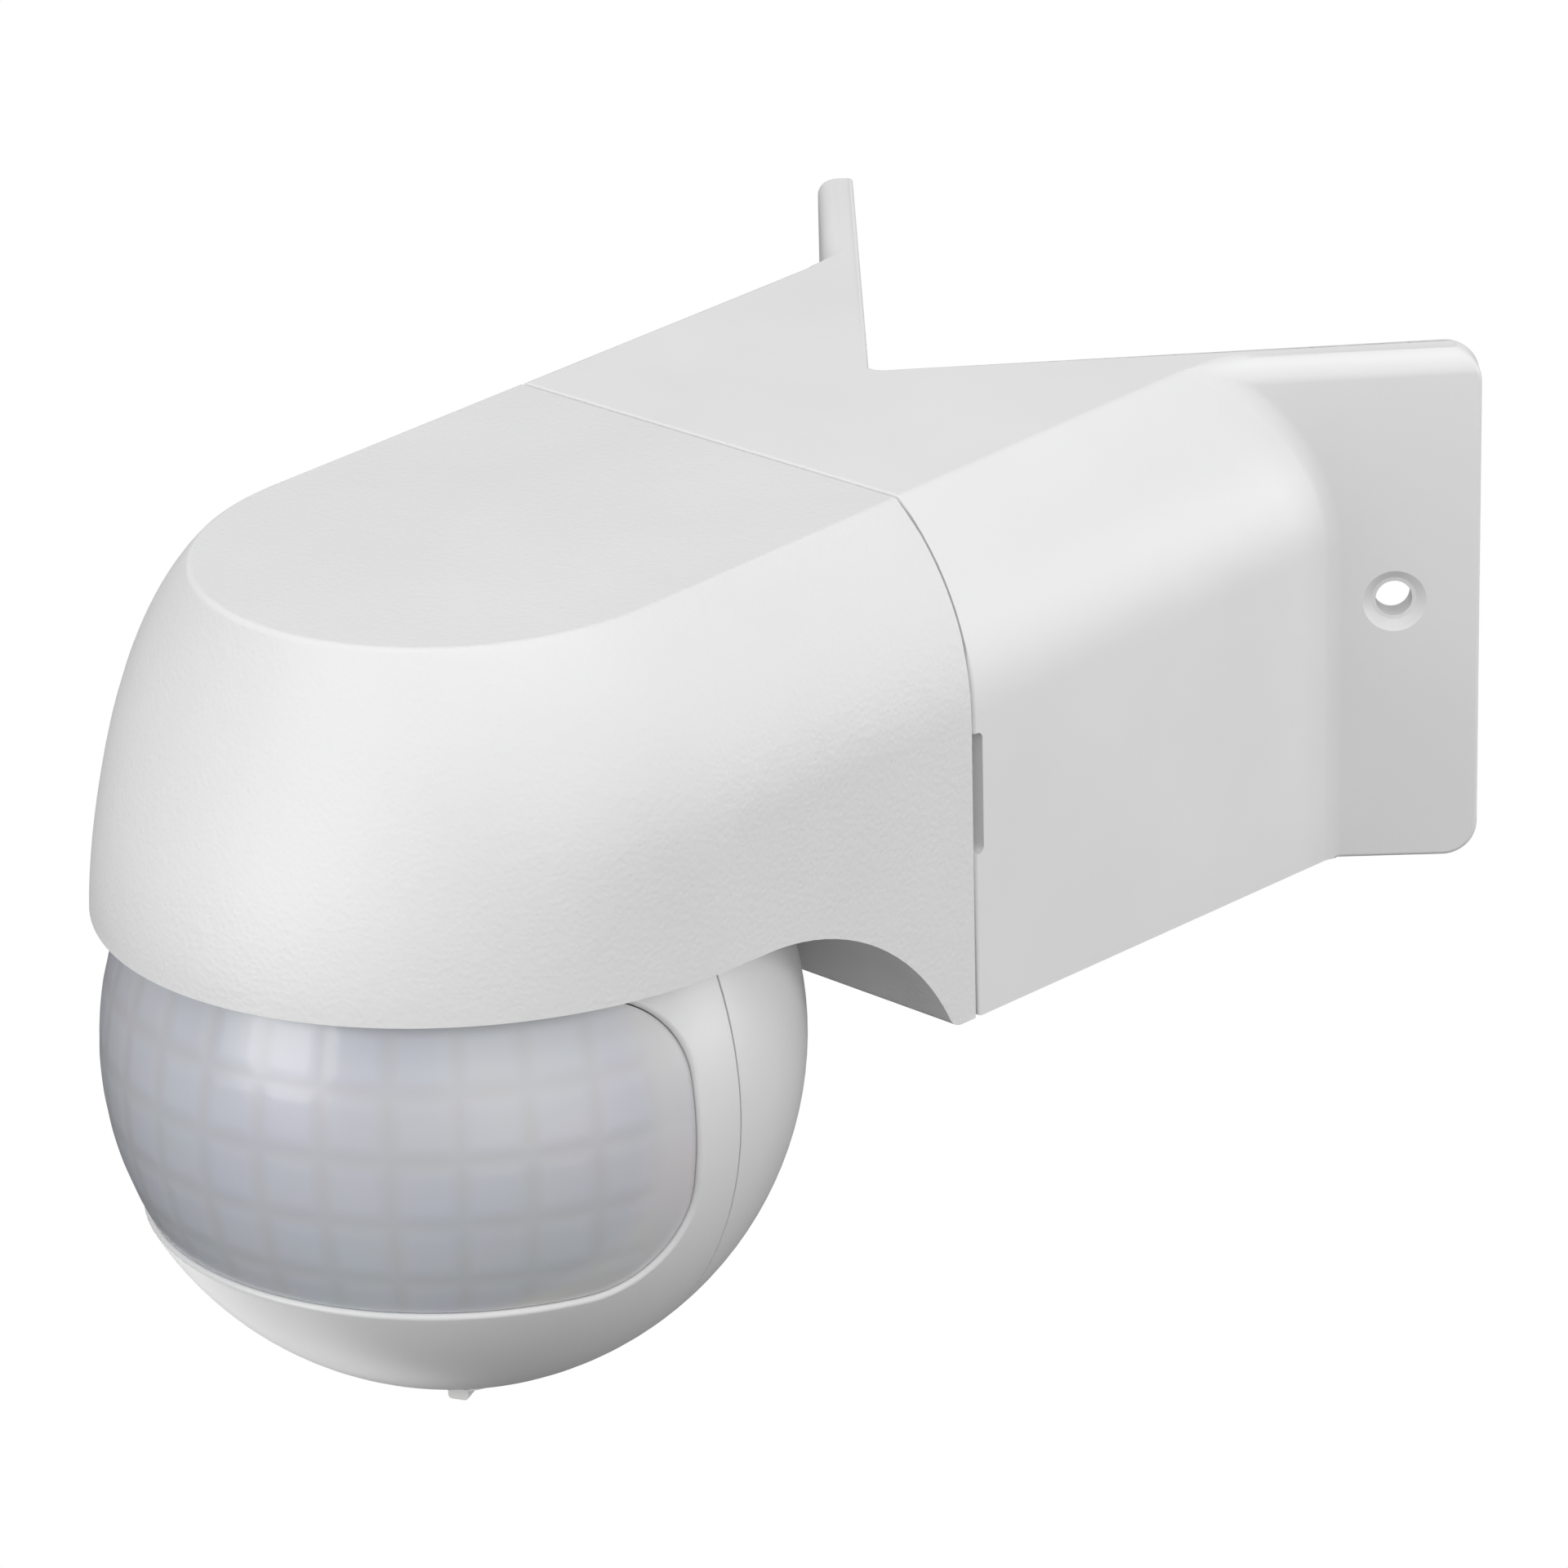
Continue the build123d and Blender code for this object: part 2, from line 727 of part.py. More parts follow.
def make_swivel_yoke():
    """A tube through the hood's dome that ends in a half ring inside the ball."""
    half_ring = ring(yoke_r, yoke_in_r, (0, -yoke_half_width, 0), 2 * yoke_half_width, (0, 1, 0))
    half_ring &= block((-far, -far, 0), (far, far, far))
    shape = half_ring
    for side in (-1, 1):
        inner = lug_out + pivot_washer_thick
        shape += rod(eye_r, (side * inner, 0, 0), yoke_r - inner, (side, 0, 0))
        shape -= rod(pin_r + 0.01, (side * (inner - 2), 0, 0), far, (side, 0, 0))
    shape += rod(neck_r, (0, 0, yoke_in_r + 1), neck_top - yoke_in_r - 1, (0, 0, 1))
    shape += rod(collar_r, (0, 0, collar_low), collar_high - collar_low, (0, 0, 1))
    shape -= rod(neck_bore_r, (0, 0, yoke_in_r - 5), far, (0, 0, 1))
    return in_head(shape)


def make_pivot_pins():
    length = yoke_r - (lug_out - lug_thick)
    return both_sides(in_head(rod(pin_r, (lug_out - lug_thick, 0, 0), length, (1, 0, 0))))


def make_pivot_washers():
    washer = ring(eye_r - 0.4, pin_r + 0.1, (lug_out, 0, 0), pivot_washer_thick, (1, 0, 0))
    return both_sides(in_head(washer))


def make_swivel_washer():
    return in_head(ring(nut_r - 0.5, neck_r + running_gap, (0, 0, boss_top), washer_thick, (0, 0, 1)))


def make_swivel_nut():
    start = (0, 0, boss_top + washer_thick)
    with BuildSketch(Plane(origin=start)) as outline:
        RegularPolygon(nut_r, 6)
        Circle(neck_r + 0.01, mode=Mode.SUBTRACT)
    return in_head(extrude(outline.sketch, nut_thick))


def make_main_board():
    shape = rod(board_r, (0, board_y, 0), board_thick, (0, 1, 0))
    for x, z in post_places():
        shape -= rod(board_screw_r + fit_gap, (x, 0, z), far, (0, 1, 0))
    return in_head(shape)


def make_board_screws():
    screws = []
    for x, z in post_places():
        screw = rod(board_screw_head_r, (x, board_y - board_screw_head, z), board_screw_head, (0, 1, 0))
        screw += rod(board_screw_r - seat_gap, (x, board_y, z), board_screw_length, (0, 1, 0))
        screw -= Pos(x, board_y - board_screw_head, z) * screw_slot(board_screw_head_r)
        screws.append(in_head(screw))
    return Compound(children=screws)


def make_sensor_holder():
    start = (0, board_y - holder_height, 0)
    shape = rod(holder_r, start, holder_height, (0, 1, 0))
    shape -= rod(pyro_r + fit_gap, (0, start[1] - 1, 0), pyro_height * 0.4 + 1, (0, 1, 0))
    shape -= rod(pyro_r * 0.6, (0, start[1] - 1, 0), far / 10, (0, 1, 0))
    return in_head(shape)


def make_pyro_sensor():
    """A round metal can with a rim, and the square window that faces the lens."""
    seat_y = board_y - holder_height + pyro_height * 0.4
    shape = rod(pyro_r * 0.9, (0, seat_y - pyro_height, 0), pyro_height, (0, 1, 0))
    shape += rod(pyro_r, (0, seat_y - 0.6, 0), 0.6, (0, 1, 0))
    half = eye_width / 2
    shape -= block((-half, seat_y - pyro_height - 1, -half), (half, seat_y - pyro_height + 0.4, half))
    return in_head(shape)


def make_light_sensor():
    return in_head(rod(light_r, (15.5, board_y - light_height, 12.0), light_height, (0, 1, 0)))


def board_block(size, place):
    """A component on the back of the main board, by its size and its place in X and Z."""
    width, deep, height = size
    back = board_y + board_thick
    low = (place[0] - width / 2, back, place[1] - height / 2)
    return in_head(block(low, (low[0] + width, back + deep, low[2] + height)))


def make_capacitors():
    back = board_y + board_thick
    cans = [rod(can_r, (x, back, z), can_height, (0, 1, 0)) for x, z in can_places]
    return Compound(children=[in_head(can) for can in cans])


def make_control_board():
    half = shell_screw_x - shell_boss_r - control_gap
    high = (half, control_back, control_z)
    low = (-half, control_front, control_z - board_thick)
    shape = block(low, high)
    for side in (-1, 1):
        hole = (side * control_post_x, control_post_y, -far / 4)
        shape -= rod(control_screw_r + fit_gap, hole, far, (0, 0, 1))
    return in_head(shape)


def make_control_screws():
    start = (control_post_x, control_post_y, control_z)
    screw = rod(control_post_r, start, 1.0, (0, 0, 1))
    screw += rod(control_screw_r - seat_gap, (start[0], start[1], control_z - 5.5), 5.5, (0, 0, 1))
    screw -= Pos(*start) * block((-1.2, -0.25, 0.5), (1.2, 0.25, 2))
    return both_sides(in_head(screw))


def make_pin_header():
    low = (-header_half, control_back - header_foot, control_z)
    return in_head(block(low, (header_half, board_y, control_z + header_height)))


def make_dial_controls():
    top = control_z - board_thick
    half = pot_size / 2
    bodies = []
    for index in range(len(dial_names)):
        x = dial_x(index)
        body = block((x - half, dial_y - half, top - pot_height), (x + half, dial_y + half, top))
        body -= rod(dial_stem_r + running_gap, (x, dial_y, top - pot_height - 1), pot_height, (0, 0, 1))
        bodies.append(in_head(body))
    return Compound(children=bodies)


def make_dial(index):
    """A round dial with a finger bar below and a stem up into its control."""
    x = dial_x(index)
    face_z = dial_face_z(x)
    shape = rod(dial_r, (x, dial_y, face_z), dial_thick, (0, 0, 1))
    top = control_z - board_thick - pot_height * 0.5
    shape += rod(dial_stem_r, (x, dial_y, face_z), top - face_z, (0, 0, 1))
    bar = Box(dial_bar_width, 2 * dial_r - 0.4, dial_bar_height + 0.4)
    bar = fillet(bar.edges().filter_by(Axis.Y).group_by(Axis.Z)[0], dial_bar_edge_r)
    shape += Pos(x, dial_y, face_z - dial_bar_height / 2 + 0.2) * Rot(0, 0, dial_turns[index]) * bar
    return in_head(shape)


parts = {
    "corner_bracket": make_corner_bracket(),
    "cable_grommet": make_cable_grommet(),
    "base_plate": make_base_plate(),
    "base_screws": make_base_screws(),
    "hood_seal": make_hood_seal(),
    "terminal_block": make_terminal_block(),
    "terminal_clamps": make_terminal_clamps(),
    "terminal_screws": make_terminal_screws(),
    "hood": make_hood(),
    "swivel_washer": make_swivel_washer(),
    "swivel_nut": make_swivel_nut(),
    "swivel_yoke": make_swivel_yoke(),
    "pivot_pins": make_pivot_pins(),
    "pivot_washers": make_pivot_washers(),
    "front_shell": make_front_shell(),
    "rear_shell": make_rear_shell(),
    "lens": make_lens(),
    "shell_seal": make_shell_seal(),
    "shell_screws": make_shell_screws(),
    "main_board": make_main_board(),
    "board_screws": make_board_screws(),
    "sensor_holder": make_sensor_holder(),
    "pyro_sensor": make_pyro_sensor(),
    "light_sensor": make_light_sensor(),
    "relay": board_block(relay_size, relay_place),
    "film_capacitor": board_block(film_size, film_place),
    "capacitors": make_capacitors(),
    "controller_chip": board_block(chip_size, chip_place),
    "control_board": make_control_board(),
    "control_screws": make_control_screws(),
    "pin_header": make_pin_header(),
    "dial_controls": make_dial_controls(),
}
for number, dial_name in enumerate(dial_names):
    parts[dial_name] = make_dial(number)

os.makedirs("parts", exist_ok=True)
for node, shape in parts.items():
    export_step(shape, "parts/" + node + ".step")
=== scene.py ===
import json
from math import cos, degrees, radians, sin, sqrt

import bmesh
import bpy
from mathutils import Matrix, Vector


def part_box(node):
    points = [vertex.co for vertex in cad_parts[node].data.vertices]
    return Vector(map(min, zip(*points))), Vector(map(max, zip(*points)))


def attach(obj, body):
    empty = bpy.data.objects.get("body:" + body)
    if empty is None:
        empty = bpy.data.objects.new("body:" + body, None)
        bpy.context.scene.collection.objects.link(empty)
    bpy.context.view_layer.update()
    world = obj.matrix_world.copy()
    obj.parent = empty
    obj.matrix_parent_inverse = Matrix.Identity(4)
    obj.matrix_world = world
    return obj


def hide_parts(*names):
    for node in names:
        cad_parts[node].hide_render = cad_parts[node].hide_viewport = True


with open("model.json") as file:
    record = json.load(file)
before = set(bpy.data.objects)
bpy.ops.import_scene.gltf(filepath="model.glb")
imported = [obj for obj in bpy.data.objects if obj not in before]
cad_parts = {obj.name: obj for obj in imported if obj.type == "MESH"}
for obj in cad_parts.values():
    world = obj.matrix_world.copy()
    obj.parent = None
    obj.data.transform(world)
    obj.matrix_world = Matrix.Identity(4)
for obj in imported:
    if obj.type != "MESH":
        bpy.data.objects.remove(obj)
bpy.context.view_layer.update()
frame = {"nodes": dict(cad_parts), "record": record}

# The camera looks at the sensor from its right front and a little above, as one looks up at a wall
# fitting from a ladder. A long lens keeps the arch and the ball free of distortion.
scene = bpy.context.scene
scene.view_settings.view_transform = "Standard"
view_azimuth = radians(44.42)
view_elevation = radians(22.05)
view_roll = radians(-1.38)
view_target = Vector((-0.015, 0.0, -0.02637))
view_distance = 0.9024
toward_camera = Vector((
    sin(view_azimuth) * cos(view_elevation),
    -cos(view_azimuth) * cos(view_elevation),
    sin(view_elevation),
))
level_right = Vector((cos(view_azimuth), sin(view_azimuth), 0.0))
level_up = toward_camera.cross(level_right)
camera_right = cos(view_roll) * level_right + sin(view_roll) * level_up
camera_up = cos(view_roll) * level_up - sin(view_roll) * level_right
bpy.ops.object.select_all(action="DESELECT")
bpy.ops.object.camera_add()
camera = bpy.context.object
camera.name = "camera"
camera.data.lens = 177.264
camera.data.sensor_width = 36.0
camera.data.clip_end = 20.0
camera_axes = Matrix((camera_right, camera_up, toward_camera)).transposed().to_4x4()
camera.matrix_world = Matrix.Translation(view_target + view_distance * toward_camera) @ camera_axes
scene.camera = camera

# A pale floor, well below the sensor because it hangs on a wall. The camera sees it white, while
# the sensor gets only a weak grey light from it, so that undersides stay darker.
bpy.ops.mesh.primitive_plane_add(size=36.0, location=(0.0, 0.0, -0.8))
floor = bpy.context.object
floor.name = "floor"
floor_look = bpy.data.materials.new("pale_floor")
floor_look.use_nodes = True
floor_nodes = floor_look.node_tree.nodes
floor_links = floor_look.node_tree.links
floor_nodes.remove(floor_nodes["Principled BSDF"])
seen_white = floor_nodes.new("ShaderNodeEmission")
seen_white.inputs["Color"].default_value = (1.0, 1.0, 1.0, 1.0)
bounced_grey = floor_nodes.new("ShaderNodeEmission")
bounced_grey.inputs["Color"].default_value = (0.09, 0.09, 0.09, 1.0)
light_path = floor_nodes.new("ShaderNodeLightPath")
floor_mix = floor_nodes.new("ShaderNodeMixShader")
floor_links.new(light_path.outputs["Is Camera Ray"], floor_mix.inputs["Fac"])
floor_links.new(bounced_grey.outputs["Emission"], floor_mix.inputs[1])
floor_links.new(seen_white.outputs["Emission"], floor_mix.inputs[2])
floor_links.new(floor_mix.outputs["Shader"], floor_nodes["Material Output"].inputs["Surface"])
floor.data.materials.append(floor_look)

# Soft studio lights: the room's own even light, one overhead for the roofs, a key just left of the
# front for the shine on the nose and the window, a wide fill from the right, a small one behind on
# the right, and a low one from the left that is later kept to the ball's shells.
world = bpy.data.worlds.new("studio")
scene.world = world
world.use_nodes = True
world.node_tree.nodes["Background"].inputs["Color"].default_value = (1.0, 1.0, 1.0, 1.0)
world.node_tree.nodes["Background"].inputs["Strength"].default_value = 0.56


def add_soft_light(name, azimuth, elevation, distance, size, watts):
    """A square light that faces the sensor from one side; azimuth 0 is straight in front."""
    away = Vector((
        sin(radians(azimuth)) * cos(radians(elevation)),
        -cos(radians(azimuth)) * cos(radians(elevation)),
        sin(radians(elevation)),
    ))
    bpy.ops.object.light_add(type="AREA", location=view_target + distance * away)
    light = bpy.context.object
    light.name = name
    light.rotation_euler = away.to_track_quat("Z", "Y").to_euler()
    light.data.size = size
    light.data.energy = watts


add_soft_light("light_overhead", azimuth=60.0, elevation=78.0, distance=1.1, size=0.9, watts=3.7)
add_soft_light("light_key", azimuth=-9.0, elevation=13.0, distance=1.0, size=0.5, watts=3.7)
add_soft_light("light_fill", azimuth=72.0, elevation=10.0, distance=1.2, size=1.4, watts=5.6)
add_soft_light("light_back", azimuth=134.0, elevation=4.0, distance=1.0, size=0.35, watts=2.3)
add_soft_light("light_low", azimuth=-82.0, elevation=-50.0, distance=0.55, size=0.4, watts=1.0)


# Corner bracket: one moulding of UV-stable grey-white plastic, two flanges that clasp the wall's
# corner and a hollow arched arm. Mould edges are rounded, and its faces are smoother than the hood.
nodes = frame["nodes"]
mm = 0.001


def make_grain_group():
    """Fine moulded texture: a height for bump and a slow tone for colour and roughness."""
    group = bpy.data.node_groups.new("moulded_grain", "ShaderNodeTree")
    for plug in ("Grain Size", "Pebble Share"):
        group.interface.new_socket(plug, in_out="INPUT", socket_type="NodeSocketFloat")
    for plug in ("Height", "Tone"):
        group.interface.new_socket(plug, in_out="OUTPUT", socket_type="NodeSocketFloat")
    put = group.nodes.new
    link = group.links.new
    entry = put("NodeGroupInput")
    leave = put("NodeGroupOutput")
    place = put("ShaderNodeTexCoord")
    per_metre = put("ShaderNodeMath")
    per_metre.operation = "DIVIDE"
    per_metre.inputs[0].default_value = 1000.0
    link(entry.outputs["Grain Size"], per_metre.inputs[1])
    fine = put("ShaderNodeTexNoise")
    fine.inputs["Detail"].default_value = 1.5
    fine.inputs["Roughness"].default_value = 0.6
    link(place.outputs["Object"], fine.inputs["Vector"])
    link(per_metre.outputs[0], fine.inputs["Scale"])
    pebbles = put("ShaderNodeTexVoronoi")
    pebbles.feature = "SMOOTH_F1"
    pebbles.inputs["Smoothness"].default_value = 0.7
    link(place.outputs["Object"], pebbles.inputs["Vector"])
    link(per_metre.outputs[0], pebbles.inputs["Scale"])
    height = put("ShaderNodeMix")
    link(entry.outputs["Pebble Share"], height.inputs["Factor"])
    link(fine.outputs["Fac"], height.inputs["A"])
    link(pebbles.outputs["Distance"], height.inputs["B"])
    link(height.outputs["Result"], leave.inputs["Height"])
    slow = put("ShaderNodeTexNoise")
    slow.inputs["Scale"].default_value = 38.0
    slow.inputs["Detail"].default_value = 3.0
    link(place.outputs["Object"], slow.inputs["Vector"])
    spread = put("ShaderNodeMapRange")
    spread.inputs["From Min"].default_value = 0.3
    spread.inputs["From Max"].default_value = 0.7
    link(slow.outputs["Fac"], spread.inputs["Value"])
    link(spread.outputs["Result"], leave.inputs["Tone"])
    return group


moulded_grain = make_grain_group()


def make_finish(name, dark, light, rough, grain, pebbles, relief, metallic=0.0, coat=0.0):
    """A finish that drifts between two colours and two roughnesses, over a moulded grain.

    grain is the texture's size and relief its depth, both in millimetres."""
    look = bpy.data.materials.new(name)
    look.use_nodes = True
    tree = look.node_tree
    shader = tree.nodes["Principled BSDF"]
    shader.inputs["Metallic"].default_value = metallic
    shader.inputs["Coat Weight"].default_value = coat
    shader.inputs["Coat Roughness"].default_value = 0.25
    texture = tree.nodes.new("ShaderNodeGroup")
    texture.node_tree = moulded_grain
    texture.inputs["Grain Size"].default_value = grain
    texture.inputs["Pebble Share"].default_value = pebbles
    colour = tree.nodes.new("ShaderNodeMix")
    colour.data_type = "RGBA"
    colour.inputs["A"].default_value = (*dark, 1.0)
    colour.inputs["B"].default_value = (*light, 1.0)
    tree.links.new(texture.outputs["Tone"], colour.inputs["Factor"])
    tree.links.new(colour.outputs["Result"], shader.inputs["Base Color"])
    gloss = tree.nodes.new("ShaderNodeMapRange")
    gloss.inputs["To Min"].default_value = rough[0]
    gloss.inputs["To Max"].default_value = rough[1]
    tree.links.new(texture.outputs["Tone"], gloss.inputs["Value"])
    tree.links.new(gloss.outputs["Result"], shader.inputs["Roughness"])
    bump = tree.nodes.new("ShaderNodeBump")
    bump.inputs["Distance"].default_value = relief * mm
    tree.links.new(texture.outputs["Height"], bump.inputs["Height"])
    tree.links.new(bump.outputs["Normal"], shader.inputs["Normal"])
    return look


def finish_nodes(look, *names):
    """Gives carried-over pieces their finish."""
    for name in names:
        shape = nodes[name].data
        shape.materials.clear()
        shape.materials.append(look)


sharp_angle = radians(28)


def start_from(node, name, merge=0.001 * mm):
    """A merged copy of a piece's mesh, as a new object of its own that is selected alone."""
    piece = bpy.data.objects.new(name, nodes[node].data.copy())
    scene.collection.objects.link(piece)
    bpy.ops.object.select_all(action="DESELECT")
    piece.select_set(True)
    bpy.context.view_layer.objects.active = piece
    bpy.ops.mesh.customdata_custom_splitnormals_clear()
    bpy.ops.object.mode_set(mode="EDIT")
    bpy.ops.mesh.select_all(action="SELECT")
    bpy.ops.mesh.remove_doubles(threshold=merge)
    bpy.ops.mesh.dissolve_limited(angle_limit=radians(0.1))
    bpy.ops.mesh.select_all(action="DESELECT")
    bpy.ops.object.mode_set(mode="OBJECT")
    return piece


def round_edges(piece, wanted, width, segments):
    """Rounds the active piece's sharp edges that pass a test of their middle and face normals."""
    bpy.ops.object.mode_set(mode="EDIT")
    bpy.ops.mesh.select_mode(type="EDGE")
    bpy.ops.mesh.select_all(action="DESELECT")
    shape = bmesh.from_edit_mesh(piece.data)
    for edge in shape.edges:
        sharp = len(edge.link_faces) == 2 and edge.calc_face_angle(0.0) > sharp_angle
        middle = (edge.verts[0].co + edge.verts[1].co) / 2
        edge.select = sharp and wanted(middle, [face.normal for face in edge.link_faces])
    bmesh.update_edit_mesh(piece.data)
    bpy.ops.mesh.bevel(offset=width, segments=segments, profile=0.5, clamp_overlap=False)
    bpy.ops.mesh.select_all(action="DESELECT")
    bpy.ops.object.mode_set(mode="OBJECT")


def settle_shading(piece):
    """Smooth faces, with flat ones kept flat beside their rounded edges."""
    bpy.ops.object.shade_smooth_by_angle(angle=radians(32))
    weights = piece.modifiers.new("even_normals", "WEIGHTED_NORMAL")
    weights.keep_sharp = True
    weights.weight = 100
    bpy.ops.object.modifier_apply(modifier=weights.name)


bracket_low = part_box("corner_bracket")[0]
flange_thick = 4.2 * mm
flange_round_from = 64 * mm
flange_slack = 0.1 * mm
roof_zone_from = 20 * mm
roof_plane_from = 29.9 * mm
mouth_slack = 0.05 * mm
mouth_side_from = 38.9 * mm
mouth_roof_from = 26.2 * mm
mouth_floor_slack = 0.4 * mm
bracket = start_from("corner_bracket", "bracket_moulding", merge=0.05 * mm)


def ahead_of_wall(point):
    """How far a point stands ahead of the nearer wall face."""
    return (abs(point.x) - point.y) / sqrt(2)


def looks_up(normals):
    """Whether one of an edge's faces is level or nearly so."""
    return any(normal.z > 0.99 for normal in normals)


def on_bracket_outline(point, normals):
    """The outer edges of the flanges and the crease between the arm's roof and its sides."""
    along = (abs(point.x) + point.y) / sqrt(2)
    in_slab = -flange_slack < ahead_of_wall(point) < flange_thick + flange_slack
    on_bottom = point.z < bracket_low.z + flange_slack
    on_top = looks_up(normals) and point.z > roof_zone_from
    behind_mouth = point.y > bracket_low.y + mouth_slack
    return (on_top and behind_mouth) or (in_slab and (on_bottom or along > flange_round_from))


def on_mouth_edge(point, normals):
    """The outer edge of the arm's open front, where the hood meets it."""
    beside = abs(point.x) > mouth_side_from
    above = point.z > mouth_roof_from
    below = point.z < bracket_low.z + mouth_floor_slack
    return point.y < bracket_low.y + mouth_slack and (beside or above or below)


# Shallow mesh edges that run into the roof at the flange tips would spoil its rounding, so they go.
bpy.ops.object.mode_set(mode="EDIT")
bpy.ops.mesh.select_mode(type="EDGE")
shape = bmesh.from_edit_mesh(bracket.data)
for edge in shape.edges:
    middle = (edge.verts[0].co + edge.verts[1].co) / 2
    at_tip = (abs(middle.x) + middle.y) / sqrt(2) > flange_round_from - 1 * mm
    meets_roof = max(corner.co.z for corner in edge.verts) > roof_plane_from
    edge.select = at_tip and meets_roof and edge.calc_face_angle(0.0) < sharp_angle
bmesh.update_edit_mesh(bracket.data)
bpy.ops.mesh.dissolve_edges(use_verts=True)
bpy.ops.object.mode_set(mode="OBJECT")
round_edges(bracket, on_bracket_outline, 0.5 * mm, 4)
round_edges(bracket, on_mouth_edge, 0.45 * mm, 3)
settle_shading(bracket)
bracket_plastic = make_finish(
    "bracket_plastic", (0.77, 0.77, 0.773), (0.80, 0.80, 0.803),
    rough=(0.39, 0.45), grain=0.55, pebbles=0.3, relief=0.006,
)
bracket.data.materials.clear()
bracket.data.materials.append(bracket_plastic)
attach(bracket, "mount")
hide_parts("corner_bracket")

# Hood: the rain cover over the swivel, moulded in the same plastic with a fine spark-eroded grain.
# It pushes onto the spigot and snaps onto the two tongues. The roof's crease is rounded, and the
# seam's outer edge is just broken.
hood = start_from("hood", "hood_moulding")
hood_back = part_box("hood")[1].y
seam_roof_from = 25 * mm


def on_hood_crease(point, normals):
    """The crease between the roof and the sides, up to the seam."""
    return looks_up(normals) and point.z > roof_zone_from and point.y < hood_back - mouth_slack


def on_hood_seam(point, normals):
    """The hood's rear outer edge, which meets the bracket's mouth."""
    outer = abs(point.x) > mouth_side_from or point.z > seam_roof_from
    return point.y > hood_back - mouth_slack and outer


round_edges(hood, on_hood_crease, 0.5 * mm, 3)
round_edges(hood, on_hood_seam, 0.18 * mm, 2)
settle_shading(hood)
hood_plastic = make_finish(
    "hood_plastic", (0.74, 0.74, 0.743), (0.77, 0.77, 0.773),
    rough=(0.47, 0.54), grain=0.62, pebbles=0.6, relief=0.06,
)
hood.data.materials.clear()
hood.data.materials.append(hood_plastic)
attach(hood, "mount")
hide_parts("hood")

# Ball head: two moulded half shells that meet in an upright joint line behind the window. The
# window's rim is rounded and catches the light.
rear_shell = start_from("rear_shell", "rear_ball_shell")
head_centre = Vector(frame["record"]["behaviour"]["joints"][0]["pos_m"])
ball_r = 39.2 * mm
ball_slack = 0.15 * mm


def on_ball_surface(point, normals):
    """Whether an edge lies in the ball's outer surface."""
    return (point - head_centre).length > ball_r - ball_slack


round_edges(rear_shell, on_ball_surface, 0.2 * mm, 2)
settle_shading(rear_shell)
head_plastic = make_finish(
    "head_plastic", (0.735, 0.735, 0.738), (0.765, 0.765, 0.768),
    rough=(0.36, 0.42), grain=0.5, pebbles=0.5, relief=0.012,
)
rear_shell.data.materials.clear()
rear_shell.data.materials.append(head_plastic)
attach(rear_shell, "sensor_head")
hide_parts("rear_shell")

front_shell = start_from("front_shell", "front_ball_shell")
joint_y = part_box("front_shell")[1].y
joint_slack = 0.3 * mm


def on_joint_line(point, normals):
    """The front shell's rear edge, where the two halves meet."""
    return on_ball_surface(point, normals) and point.y > joint_y - joint_slack


round_edges(front_shell, on_joint_line, 0.2 * mm, 2)
settle_shading(front_shell)
front_shell.data.materials.clear()
front_shell.data.materials.append(head_plastic)
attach(front_shell, "sensor_head")
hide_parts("front_shell")

# The low light reaches the two moulded shells alone, as their matt plastic shows it as a soft glow.
# In the glossy window it would leave a second shine.
grazed = bpy.data.collections.new("grazed_shells")
grazed.objects.link(front_shell)
grazed.objects.link(rear_shell)
bpy.data.objects["light_low"].light_linking.receiver_collection = grazed

# Lens: a thin spherical window of milky polyethylene. Each small square gathers heat from one
# direction, so the face is a grid of faint pillows with a plain margin at both ends.
lens_r = 38.6 * mm
lens_wall = 1.2 * mm
cell_rise = 0.035 * mm
cell_border = 0.6 * mm
crown_border = 1.0 * mm
crown_share = 0.4
meridians = 128
parallels = 64
cell_faces = 4
column_angle = cell_faces * 360.0 / meridians
row_angle = cell_faces * 180.0 / parallels
columns = 14
rows = 5
rows_below = 3
grid_shift = 0.25
first_column = column_angle * (grid_shift - columns / 2)
first_row = row_angle * (grid_shift - rows_below)
cut_behind = 3 * mm
cut_half_height = 22 * mm
bpy.ops.object.select_all(action="DESELECT")
bpy.ops.mesh.primitive_uv_sphere_add(
    segments=meridians,
    ring_count=parallels,
    radius=lens_r - (1 + crown_share) * cell_rise,
    location=head_centre,
)
lens = bpy.context.object
lens.name = "cell_lens"
bpy.ops.object.transform_apply(location=True, rotation=True, scale=True)
bpy.ops.object.mode_set(mode="EDIT")
for plane_point, plane_normal in (
    (head_centre + Vector((0, cut_behind, 0)), (0, 1, 0)),
    (head_centre + Vector((0, 0, cut_half_height)), (0, 0, 1)),
    (head_centre - Vector((0, 0, cut_half_height)), (0, 0, -1)),
):
    bpy.ops.mesh.select_all(action="SELECT")
    bpy.ops.mesh.bisect(plane_co=plane_point, plane_no=plane_normal, clear_outer=True)


def longitude_latitude(point):
    """Where a point of the ball lies, in degrees from straight ahead and from the level."""
    out = (point - head_centre).normalized()
    level = Vector((out.x, out.y)).angle_signed(Vector((0.0, -1.0)))
    return degrees(level), 90 - degrees(out.angle(Vector((0, 0, 1))))


